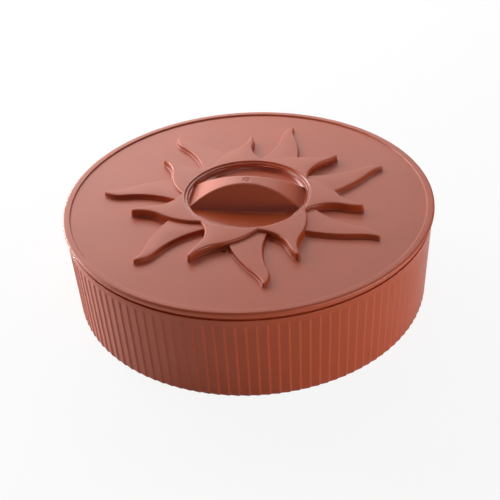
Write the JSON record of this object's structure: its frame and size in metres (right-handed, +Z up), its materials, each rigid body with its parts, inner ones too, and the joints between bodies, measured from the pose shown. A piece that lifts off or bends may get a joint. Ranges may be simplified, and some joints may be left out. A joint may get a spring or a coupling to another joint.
{
  "type": "tortilla warmer",
  "caption": "Round ribbed plastic keeper for warm tortillas, with a lift-off lid that carries a sun in relief and an arched grip sunk in a well.",
  "frame": {"origin": "middle of the bowl's underside, on the surface it stands on", "axes": "+Z up through the middle of bowl and lid; +X along the lid's grip bar"},
  "size_m": [0.2844, 0.2844, 0.096],
  "materials": {
    "terracotta_bowl": "satin",
    "terracotta_lid": "satin"
  },
  "bodies": {
    "bowl": {"base_bowl": "terracotta_bowl"},
    "cover": {"lid": "terracotta_lid"}
  },
  "joints": [
    {"name": "lid_lift", "type": "slide", "parent": "bowl", "child": "cover", "axis": [0, 0, 1], "range_m": [0, 0.15]}
  ]
}
